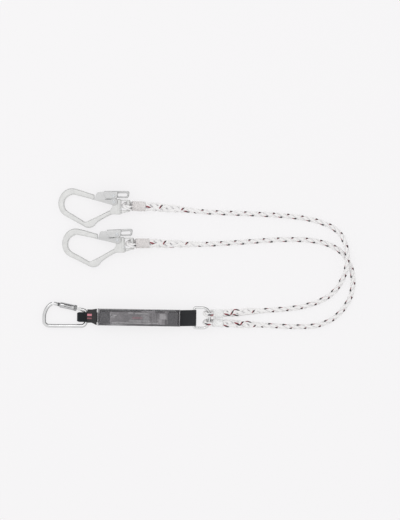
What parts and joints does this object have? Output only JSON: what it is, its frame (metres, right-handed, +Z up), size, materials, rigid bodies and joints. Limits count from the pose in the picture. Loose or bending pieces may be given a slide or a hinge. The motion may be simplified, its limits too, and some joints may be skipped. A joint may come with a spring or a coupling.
{
  "type": "shock-absorbing lanyard",
  "caption": "Twin-leg lanyard: folded webbing shock absorber with a twist-lock karabiner, and a D-ring with spliced rope legs ending in scaffold hooks.",
  "frame": {"origin": "centre of the absorber pack's flat underside", "axes": "+X along the absorber towards the D-ring, +Y across it towards the hooks, +Z up off the surface that the lanyard lies on"},
  "size_m": [0.8132, 0.3634, 0.0362],
  "materials": {
    "white_rope": "three-strand twisted polyamide rope",
    "black_webbing": "woven polyester webbing",
    "grey_webbing": "woven tear webbing",
    "label_card": "printed insert, bare",
    "clear_film": "clear heat-shrunk film",
    "polished_steel": "polished plated steel",
    "plated_steel": "zinc-plated steel",
    "dark_steel": "knurled steel",
    "aluminium": "satin forged aluminium"
  },
  "bodies": {
    "absorber": {"clear_cover": "clear_film", "tear_webbing": "grey_webbing", "label_insert": "label_card", "ring_loop": "black_webbing", "karabiner_loop": "black_webbing", "label_sleeve": "black_webbing"},
    "karabiner": {"karabiner_frame": "polished_steel", "karabiner_gate_pin": "plated_steel"},
    "karabiner_gate": {"karabiner_gate": "polished_steel"},
    "twist_lock": {"twist_sleeve": "polished_steel", "twist_grip_ring": "dark_steel"},
    "ring": {"d_ring": "plated_steel"},
    "leg_a": {"ring_eye_splice_a": "white_rope", "ring_eye_sleeve_a": "clear_film", "rope_leg_a": "white_rope", "hook_eye_sleeve_a": "clear_film", "hook_eye_splice_a": "white_rope"},
    "hook_a": {"hook_body_a": "aluminium", "gate_rivet_a": "plated_steel", "lever_rivet_a": "plated_steel", "gate_spring_a": "plated_steel"},
    "gate_a": {"hook_gate_a": "aluminium"},
    "lever_a": {"lock_lever_a": "aluminium"},
    "leg_b": {"ring_eye_splice_b": "white_rope", "ring_eye_sleeve_b": "clear_film", "rope_leg_b": "white_rope", "hook_eye_sleeve_b": "clear_film", "hook_eye_splice_b": "white_rope"},
    "hook_b": {"hook_body_b": "aluminium", "gate_rivet_b": "plated_steel", "lever_rivet_b": "plated_steel", "gate_spring_b": "plated_steel"},
    "gate_b": {"hook_gate_b": "aluminium"},
    "lever_b": {"lock_lever_b": "aluminium"}
  },
  "joints": [
    {"name": "karabiner_swing", "type": "hinge", "parent": "absorber", "child": "karabiner", "pos_m": [-0.137, 0, 0.0079], "axis": [0, 1, 0], "range_deg": [-90, 30]},
    {"name": "karabiner_gate", "type": "hinge", "parent": "karabiner", "child": "karabiner_gate", "pos_m": [-0.1549, 0.0204, 0.0079], "axis": [0, 0, 1], "range_deg": [0, 20], "stiffness_Nm_per_rad": 0.06, "springref_deg": -34.38},
    {"name": "gate_twist", "type": "hinge", "parent": "karabiner_gate", "child": "twist_lock", "pos_m": [-0.1549, 0.0204, 0.0079], "axis": [-0.9807, 0.1953, 0], "range_deg": [0, 90], "stiffness_Nm_per_rad": 0.004, "springref_deg": -34.38},
    {"name": "ring_swing", "type": "hinge", "parent": "absorber", "child": "ring", "pos_m": [0.1434, 0.0018, 0.0165], "axis": [0, 1, 0], "range_deg": [-75, 75]},
    {"name": "leg_a_swing", "type": "hinge", "parent": "ring", "child": "leg_a", "pos_m": [0.1842, 0.0138, 0.0165], "axis": [0, 1, 0], "range_deg": [-75, 0]},
    {"name": "leg_b_swing", "type": "hinge", "parent": "ring", "child": "leg_b", "pos_m": [0.1842, -0.0102, 0.0165], "axis": [0, 1, 0], "range_deg": [0, 75]},
    {"name": "hook_a_swing", "type": "hinge", "parent": "leg_a", "child": "hook_a", "pos_m": [-0.0312, 0.2905, 0.0181], "axis": [-0.0157, 0.9999, 0], "range_deg": [-75, 75]},
    {"name": "hook_a_gate", "type": "hinge", "parent": "hook_a", "child": "gate_a", "pos_m": [-0.06898, 0.29951, 0.01591], "axis": [-0.058, -0.0009, 0.9983], "range_deg": [0, 60], "stiffness_Nm_per_rad": 0.08, "springref_deg": -34.38},
    {"name": "hook_a_lever", "type": "hinge", "parent": "hook_a", "child": "lever_a", "pos_m": [-0.06974, 0.3156, 0.01588], "axis": [-0.058, -0.0009, 0.9983], "range_deg": [-5, 0], "stiffness_Nm_per_rad": 0.1, "springref_deg": 34.38},
    {"name": "hook_b_swing", "type": "hinge", "parent": "leg_b", "child": "hook_b", "pos_m": [-0.0198, 0.1926, 0.0181], "axis": [-0.061, 0.9981, 0], "range_deg": [-75, 75]},
    {"name": "hook_b_gate", "type": "hinge", "parent": "hook_b", "child": "gate_b", "pos_m": [-0.05795, 0.19988, 0.01591], "axis": [-0.0579, -0.0035, 0.9983], "range_deg": [0, 60], "stiffness_Nm_per_rad": 0.08, "springref_deg": -34.38},
    {"name": "hook_b_lever", "type": "hinge", "parent": "hook_b", "child": "lever_b", "pos_m": [-0.05943, 0.21592, 0.01588], "axis": [-0.0579, -0.0035, 0.9983], "range_deg": [-5, 0], "stiffness_Nm_per_rad": 0.1, "springref_deg": 34.38}
  ]
}
